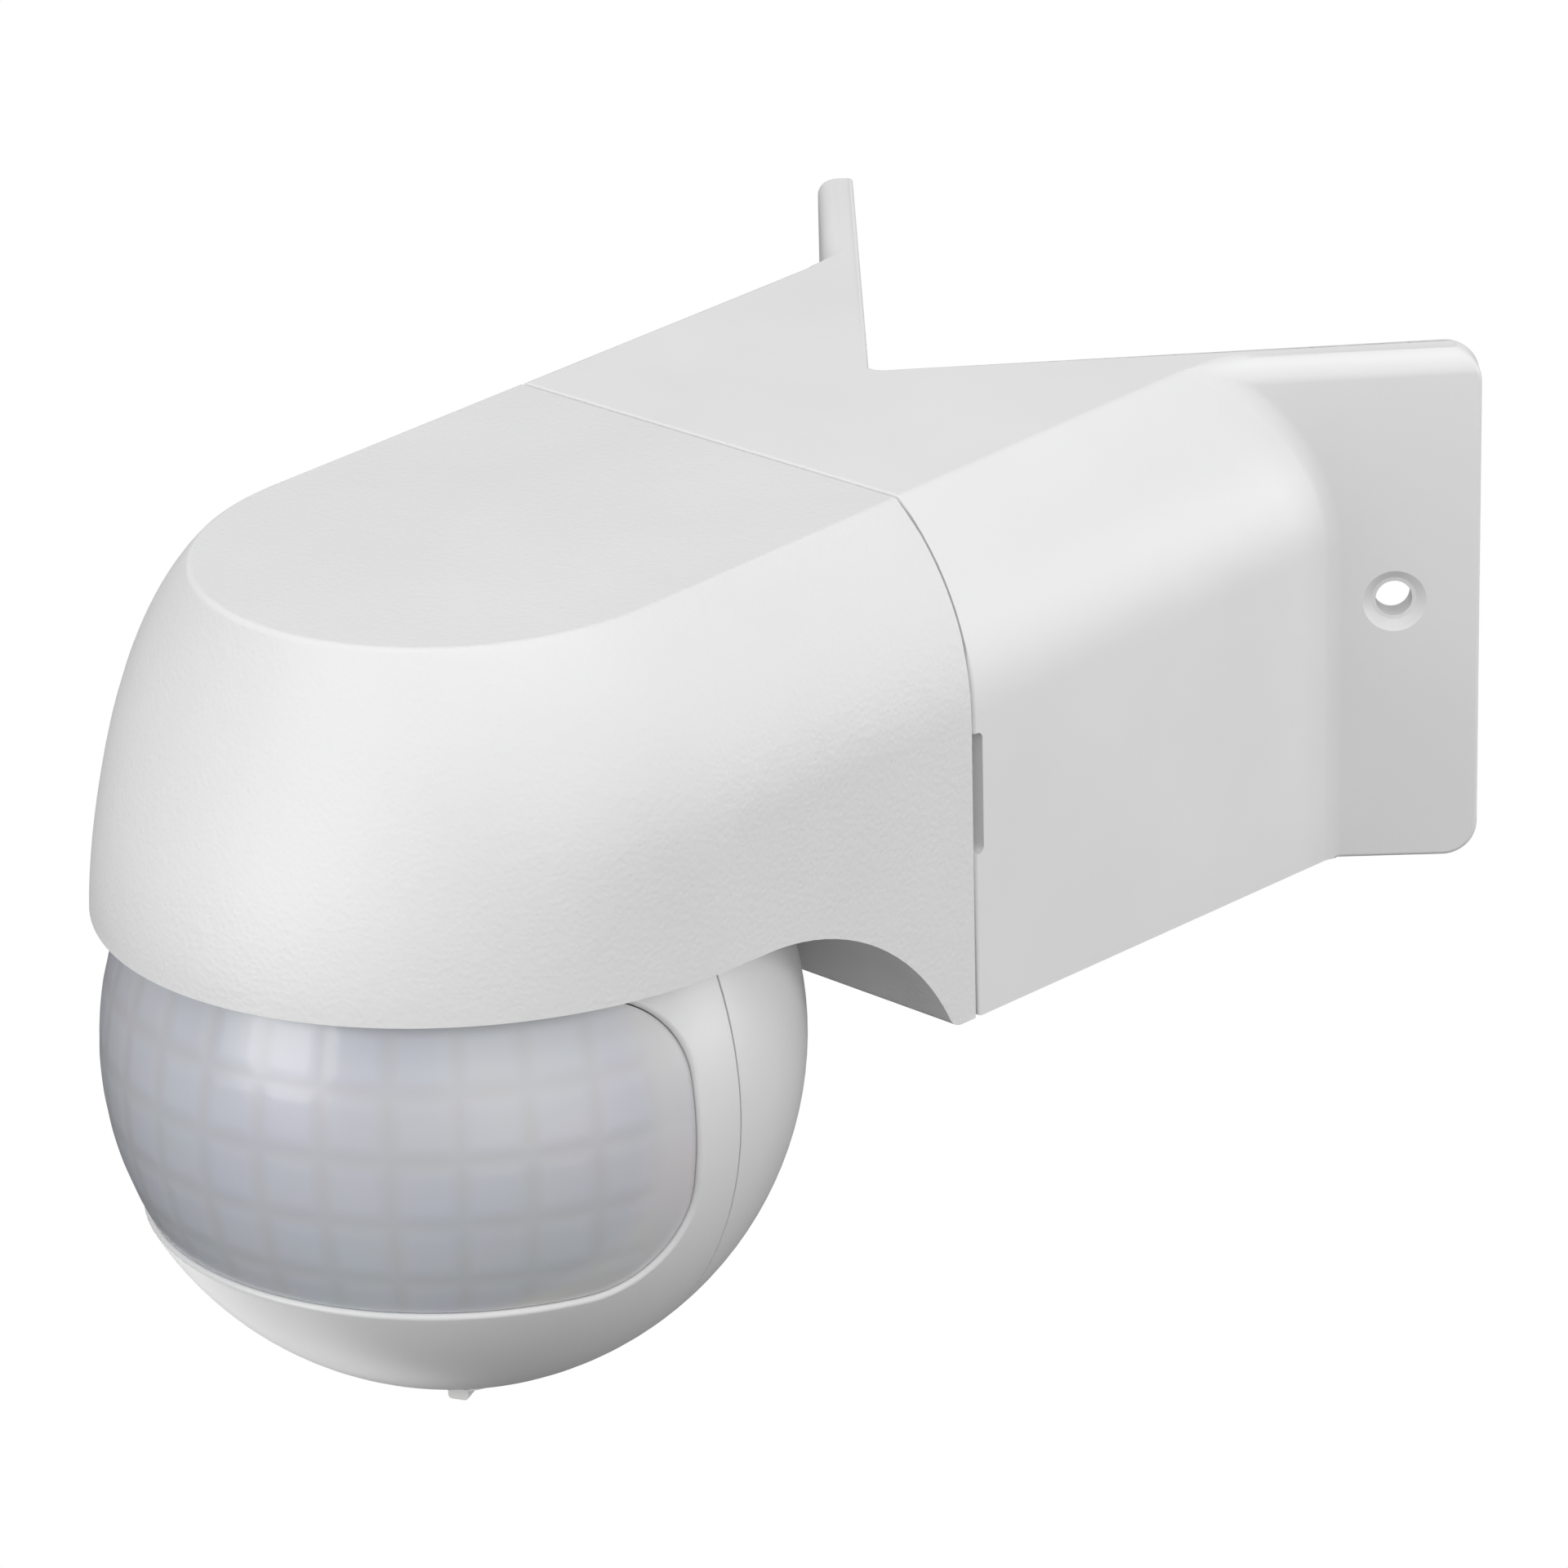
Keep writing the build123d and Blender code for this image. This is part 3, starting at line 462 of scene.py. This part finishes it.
bpy.ops.mesh.select_mode(type="FACE")
for column in range(columns):
    for row in range(rows):
        west = first_column + column * column_angle
        south = first_row + row * row_angle
        bpy.ops.mesh.select_all(action="DESELECT")
        shape = bmesh.from_edit_mesh(lens.data)
        for patch in shape.faces:
            east_of, north_of = longitude_latitude(patch.calc_center_median())
            if west < east_of < west + column_angle and south < north_of < south + row_angle:
                patch.select = True
        bmesh.update_edit_mesh(lens.data)
        bpy.ops.mesh.inset(thickness=cell_border, depth=cell_rise)
        bpy.ops.mesh.inset(thickness=crown_border, depth=crown_share * cell_rise)
bpy.ops.object.mode_set(mode="OBJECT")
smooth = lens.modifiers.new("soft_pillows", "SUBSURF")
smooth.levels = 1
smooth.render_levels = 1
bpy.ops.object.modifier_apply(modifier=smooth.name)
skin = lens.modifiers.new("skin", "SOLIDIFY")
skin.thickness = lens_wall
skin.offset = -1.0
bpy.ops.object.modifier_apply(modifier=skin.name)

window_gap = 0.12 * mm
window_top = 16.9 * mm - window_gap
window_bottom = -17.6 * mm + window_gap
window_back = -0.7 * mm - window_gap
window_corner_r = 11.0 * mm - window_gap
window_front = -60 * mm
cutter_width = 0.1
rear_edge_slack = 1 * mm
bpy.ops.mesh.primitive_cube_add(size=1.0)
cutter = bpy.context.object
cutter.scale = (cutter_width, window_back - window_front, window_top - window_bottom)
cutter.location = head_centre + Vector((
    0.0, (window_back + window_front) / 2, (window_top + window_bottom) / 2
))
bpy.ops.object.transform_apply(location=True, rotation=True, scale=True)
bpy.ops.object.mode_set(mode="EDIT")
bpy.ops.mesh.select_mode(type="EDGE")
bpy.ops.mesh.select_all(action="DESELECT")
shape = bmesh.from_edit_mesh(cutter.data)
for edge in shape.edges:
    middle = (edge.verts[0].co + edge.verts[1].co) / 2
    along_x = abs(edge.verts[0].co.x - edge.verts[1].co.x) > cutter_width / 2
    edge.select = along_x and middle.y > head_centre.y + window_back - rear_edge_slack
bmesh.update_edit_mesh(cutter.data)
bpy.ops.mesh.bevel(offset=window_corner_r, segments=24, profile=0.5)
bpy.ops.object.mode_set(mode="OBJECT")
bpy.ops.object.select_all(action="DESELECT")
lens.select_set(True)
bpy.context.view_layer.objects.active = lens
trim = lens.modifiers.new("window_outline", "BOOLEAN")
trim.operation = "INTERSECT"
trim.solver = "EXACT"
trim.object = cutter
bpy.ops.object.modifier_apply(modifier=trim.name)
bpy.data.objects.remove(cutter)
bpy.ops.object.shade_smooth_by_angle(angle=radians(40))


def make_lens_look():
    """Milky plastic: bluish in the middle of each cell, greyer on the lines and in the margin."""
    look = bpy.data.materials.new("lens_plastic")
    look.use_nodes = True
    put = look.node_tree.nodes.new
    link = look.node_tree.links.new
    shader = look.node_tree.nodes["Principled BSDF"]
    shader.inputs["Coat Weight"].default_value = 0.7
    shader.inputs["Coat Roughness"].default_value = 0.27
    place = put("ShaderNodeTexCoord")
    centred = put("ShaderNodeMapping")
    centred.vector_type = "POINT"
    centred.inputs["Location"].default_value = -head_centre
    link(place.outputs["Object"], centred.inputs["Vector"])
    unit = put("ShaderNodeVectorMath")
    unit.operation = "NORMALIZE"
    link(centred.outputs["Vector"], unit.inputs[0])
    split = put("ShaderNodeSeparateXYZ")
    link(unit.outputs["Vector"], split.inputs["Vector"])

    def arithmetic(operation, first, second=None, third=None):
        step = put("ShaderNodeMath")
        step.operation = operation
        for socket, value in zip(step.inputs, (first, second, third)):
            if isinstance(value, (int, float)):
                socket.default_value = value
            elif value is not None:
                link(value, socket)
        return step.outputs[0]

    ahead = arithmetic("MULTIPLY", split.outputs["Y"], -1.0)
    east = arithmetic("ARCTAN2", split.outputs["X"], ahead)
    north = arithmetic("ARCSINE", split.outputs["Z"])
    from_west = arithmetic("SUBTRACT", east, radians(first_column))
    from_south = arithmetic("SUBTRACT", north, radians(first_row))
    cells_east = arithmetic("DIVIDE", from_west, radians(column_angle))
    cells_north = arithmetic("DIVIDE", from_south, radians(row_angle))

    def from_line(cells):
        """0 on a line between cells and 1 in the middle of a cell."""
        return arithmetic("MULTIPLY", arithmetic("PINGPONG", cells, 0.5), 2.0)

    nearest = arithmetic("SMOOTH_MIN", from_line(cells_east), from_line(cells_north), 0.25)
    inside = put("ShaderNodeMapRange")
    inside.interpolation_type = "SMOOTHSTEP"
    inside.inputs["From Max"].default_value = 0.5
    link(nearest, inside.inputs["Value"])

    def fade(value, start, stop):
        step = put("ShaderNodeMapRange")
        step.interpolation_type = "SMOOTHSTEP"
        step.inputs["From Min"].default_value = start
        step.inputs["From Max"].default_value = stop
        link(value, step.inputs["Value"])
        return step.outputs["Result"]

    def bulge(angle, middle, reach):
        """How far an angle is from the middle of the grid, cubed so that the corners are round."""
        share = arithmetic("DIVIDE", arithmetic("SUBTRACT", angle, radians(middle)), radians(reach))
        return arithmetic("POWER", arithmetic("ABSOLUTE", share), 3.0)

    # The grid fades into the lighter margin colour. At its two ends this is the lens's own plain
    # margin. Towards the top and bottom it is partly painted light, brightening the window's rows
    # under the hood.
    out_east = bulge(east, middle=2.8, reach=80.0)
    out_north = bulge(north, middle=4.0, reach=35.0)
    toward_rim = arithmetic("ADD", out_east, out_north)
    in_grid = arithmetic("SUBTRACT", 1.0, fade(toward_rim, start=0.75, stop=1.05))
    cloud = put("ShaderNodeTexNoise")
    cloud.inputs["Scale"].default_value = 60.0
    cloud.inputs["Detail"].default_value = 2.0
    link(place.outputs["Object"], cloud.inputs["Vector"])
    line_tone = put("ShaderNodeMix")
    line_tone.data_type = "RGBA"
    line_tone.inputs["A"].default_value = (0.565, 0.577, 0.612, 1.0)
    line_tone.inputs["B"].default_value = (0.585, 0.605, 0.66, 1.0)
    link(inside.outputs["Result"], line_tone.inputs["Factor"])
    cell_or_margin = put("ShaderNodeMix")
    cell_or_margin.data_type = "RGBA"
    cell_or_margin.inputs["A"].default_value = (0.66, 0.66, 0.665, 1.0)
    link(in_grid, cell_or_margin.inputs["Factor"])
    link(line_tone.outputs["Result"], cell_or_margin.inputs["B"])
    cloudy = put("ShaderNodeMix")
    cloudy.data_type = "RGBA"
    cloudy.blend_type = "MULTIPLY"
    cloudy.inputs["Factor"].default_value = 0.12
    link(cell_or_margin.outputs["Result"], cloudy.inputs["A"])
    link(cloud.outputs["Color"], cloudy.inputs["B"])
    link(cloudy.outputs["Result"], shader.inputs["Base Color"])
    shine = put("ShaderNodeMapRange")
    shine.inputs["To Min"].default_value = 0.32
    shine.inputs["To Max"].default_value = 0.4
    link(cloud.outputs["Fac"], shine.inputs["Value"])
    link(shine.outputs["Result"], shader.inputs["Roughness"])
    ripple = put("ShaderNodeBump")
    ripple.inputs["Distance"].default_value = 0.01 * mm
    link(inside.outputs["Result"], ripple.inputs["Height"])
    link(ripple.outputs["Normal"], shader.inputs["Normal"])
    return look


lens.data.materials.clear()
lens.data.materials.append(make_lens_look())
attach(lens, "sensor_head")
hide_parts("lens")

# Setting dials: three small knobs in the bottom of the ball, for time, light level and range. They
# are moulded in white plastic, a little glossier than the shells, and push onto their controls.
dial_plastic = make_finish(
    "dial_plastic", (0.82, 0.82, 0.81), (0.86, 0.86, 0.85),
    rough=(0.28, 0.34), grain=0.3, pebbles=0.2, relief=0.004,
)
dial_names = ("time_dial", "light_dial", "range_dial")
finish_nodes(dial_plastic, *dial_names)

# Setting marks: five plain strokes printed in front of each dial, broader towards its upper end.
# The ink lies a few hundredths of a millimetre proud of the ball.
mark_angles = (-44, -22, 0, 22, 44)
mark_length = 1.3 * mm
mark_width = 0.22 * mm
mark_growth = 0.1 * mm
mark_thick = 0.06 * mm
mark_gap = 1.5 * mm
strokes = []
for dial in dial_names:
    dial_low, dial_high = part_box(dial)
    dial_middle = (dial_low + dial_high) / 2
    dial_middle.z = head_centre.z
    mark_reach = (dial_high.x - dial_low.x) / 2 + mark_gap
    for step, angle in enumerate(mark_angles):
        spoke = Vector((sin(radians(angle)), -cos(radians(angle)), 0.0))
        level_place = dial_middle + mark_reach * spoke
        drop = sqrt(ball_r**2 - (level_place - head_centre).length_squared)
        place = level_place - Vector((0.0, 0.0, drop))
        out = (place - head_centre).normalized()
        across = spoke.cross(out).normalized()
        bpy.ops.object.select_all(action="DESELECT")
        bpy.ops.mesh.primitive_cube_add(size=1.0)
        stroke = bpy.context.object
        stroke.matrix_world = (
            Matrix.Translation(place)
            @ Matrix((across, out.cross(across), out)).transposed().to_4x4()
            @ Matrix.Diagonal((mark_width + step * mark_growth, mark_length, mark_thick, 1.0))
        )
        bpy.ops.object.transform_apply(location=True, rotation=True, scale=True)
        bpy.ops.object.mode_set(mode="EDIT")
        bpy.ops.mesh.bevel(offset=mark_thick / 4, segments=2)
        bpy.ops.object.mode_set(mode="OBJECT")
        strokes.append(stroke)
for stroke in strokes:
    stroke.select_set(True)
bpy.ops.object.join()
marks = bpy.context.object
marks.name = "dial_marks"
mark_ink = make_finish(
    "mark_ink", (0.03, 0.03, 0.032), (0.05, 0.05, 0.052),
    rough=(0.45, 0.6), grain=0.2, pebbles=0.2, relief=0.002,
)
marks.data.materials.append(mark_ink)
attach(marks, "sensor_head")

# Base plate, neck and nut: plain grey mouldings of tough plastic. The plate closes the bracket's
# mouth, and the nut holds the neck in the hood's dome.
inner_plastic = make_finish(
    "inner_plastic", (0.34, 0.345, 0.35), (0.38, 0.385, 0.39),
    rough=(0.42, 0.5), grain=0.5, pebbles=0.4, relief=0.015,
)
finish_nodes(inner_plastic, "base_plate", "swivel_yoke", "swivel_nut")

# Terminal block: a cream moulding of heat-proof plastic, with four ways for the mains wires. It sits
# on the front of the base plate, under the hood.
terminal_plastic = make_finish(
    "terminal_plastic", (0.76, 0.74, 0.66), (0.8, 0.78, 0.7),
    rough=(0.25, 0.33), grain=0.4, pebbles=0.2, relief=0.006,
)
finish_nodes(terminal_plastic, "terminal_block")

# Grommet and seals: soft black rubber, pressed into a hole or a groove, so that no rain gets past
# the supply cable, the base plate's spigot or the ball's joint.
soft_rubber = make_finish(
    "soft_rubber", (0.012, 0.012, 0.012), (0.02, 0.02, 0.02),
    rough=(0.62, 0.75), grain=0.25, pebbles=0.5, relief=0.02,
)
finish_nodes(soft_rubber, "cable_grommet", "hood_seal", "shell_seal")

# Screws and pivot pins: turned or rolled steel with a bright zinc coat. They hold the plate, the
# wires, the shells and the boards, and carry the ball.
zinc_steel = make_finish(
    "zinc_steel", (0.52, 0.52, 0.53), (0.62, 0.62, 0.63),
    rough=(0.26, 0.38), grain=0.2, pebbles=0.1, relief=0.004, metallic=1.0,
)
finish_nodes(
    zinc_steel,
    "base_screws", "terminal_screws", "pivot_pins", "shell_screws", "board_screws", "control_screws",
)

# Clamps, washers and the heat sensor's can: pressed sheet metal with a warmer nickel coat. The can
# sits in a holder on the front of the main board and faces the window.
nickel_steel = make_finish(
    "nickel_steel", (0.58, 0.56, 0.5), (0.66, 0.64, 0.58),
    rough=(0.2, 0.3), grain=0.2, pebbles=0.1, relief=0.003, metallic=1.0,
)
finish_nodes(nickel_steel, "terminal_clamps", "swivel_washer", "pivot_washers", "pyro_sensor")

# Circuit boards: glass laminate under a green, slightly glossy solder mask. The main one stands
# across the ball, and a smaller level one near the bottom carries the three controls.
board_laminate = make_finish(
    "board_laminate", (0.015, 0.11, 0.04), (0.02, 0.14, 0.055),
    rough=(0.3, 0.4), grain=0.35, pebbles=0.1, relief=0.008, coat=0.3,
)
finish_nodes(board_laminate, "main_board", "control_board")

# Sensor holder, controller chip and pin header: black moulded parts on the boards, matt from the
# mould. The header joins the two boards.
black_plastic = make_finish(
    "black_plastic", (0.012, 0.012, 0.013), (0.02, 0.02, 0.022),
    rough=(0.38, 0.5), grain=0.3, pebbles=0.4, relief=0.01,
)
finish_nodes(black_plastic, "sensor_holder", "controller_chip", "pin_header")

# Relay and the three controls that the dials turn: closed blue plastic cases. The relay sits on the
# back of the main board, the controls on the underside of the small one.
relay_plastic = make_finish(
    "relay_plastic", (0.012, 0.045, 0.24), (0.016, 0.06, 0.3),
    rough=(0.25, 0.34), grain=0.3, pebbles=0.2, relief=0.006,
)
finish_nodes(relay_plastic, "relay", "dial_controls")

# Film capacitor: a yellow resin-filled box that drops the mains voltage, soldered to the back of
# the main board.
film_box = make_finish(
    "film_box", (0.6, 0.45, 0.06), (0.68, 0.52, 0.09),
    rough=(0.28, 0.38), grain=0.5, pebbles=0.3, relief=0.01,
)
finish_nodes(film_box, "film_capacitor")

# Capacitors: two aluminium cans in a dark, glossy shrink sleeve, soldered to the back of the main
# board. They smooth the supply.
can_sleeve = make_finish(
    "can_sleeve", (0.008, 0.01, 0.02), (0.014, 0.018, 0.03),
    rough=(0.2, 0.3), grain=0.4, pebbles=0.1, relief=0.004, coat=0.4,
)
finish_nodes(can_sleeve, "capacitors")

# Light sensor: a small cast of clear red-brown resin on the front of the main board, behind the
# window. It tells day from night.
sensor_resin = make_finish(
    "sensor_resin", (0.25, 0.06, 0.02), (0.32, 0.08, 0.03),
    rough=(0.12, 0.2), grain=0.3, pebbles=0.1, relief=0.003, coat=0.5,
)
finish_nodes(sensor_resin, "light_sensor")
